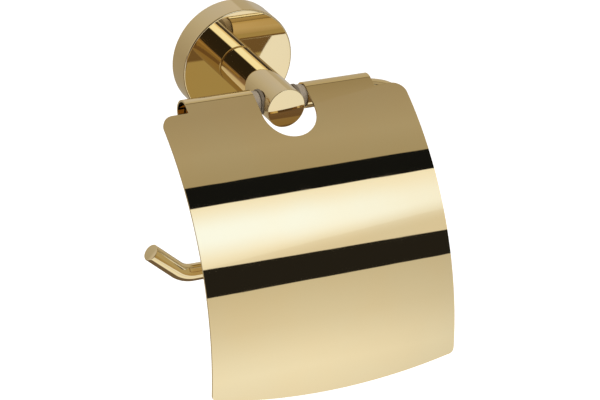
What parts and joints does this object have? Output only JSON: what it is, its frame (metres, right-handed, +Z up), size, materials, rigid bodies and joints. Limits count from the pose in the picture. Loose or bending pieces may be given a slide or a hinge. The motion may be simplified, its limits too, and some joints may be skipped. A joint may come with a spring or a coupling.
{
  "type": "toilet paper holder",
  "caption": "Wall-hung toilet paper holder: a round rosette and short post carry a bent wire roll bar under a curved sheet cover that lifts on the wire.",
  "frame": {"origin": "middle of the rosette's back, on the wall plane", "axes": "+X to the right as seen from the room, along the top bar; +Y into the wall; +Z up"},
  "size_m": [0.1441, 0.1365, 0.1483],
  "materials": {
    "polished_gold": "mirror-polished gold plating on brass",
    "bush_plastic": "moulded warm grey nylon, satin",
    "washer_rubber": "dark warm grey rubber, matt",
    "bracket_steel": "zinc-plated steel, dull",
    "screw_steel": "stainless steel socket screws, satin"
  },
  "bodies": {
    "holder": {"wall_bracket": "bracket_steel", "rosette": "polished_gold", "rosette_grub_screw": "screw_steel", "post": "polished_gold", "post_screw": "screw_steel", "lock_washer": "screw_steel", "wire_grub_screw": "screw_steel", "roll_wire": "polished_gold"},
    "cover": {"cover": "polished_gold", "friction_washer_left": "washer_rubber", "friction_washer_right": "washer_rubber", "bush_left": "bush_plastic", "bush_right": "bush_plastic"}
  },
  "joints": [
    {"name": "cover_lift", "type": "hinge", "parent": "holder", "child": "cover", "pos_m": [0, -0.056, 0], "axis": [-1, 0, 0], "range_deg": [-44, 165]}
  ]
}
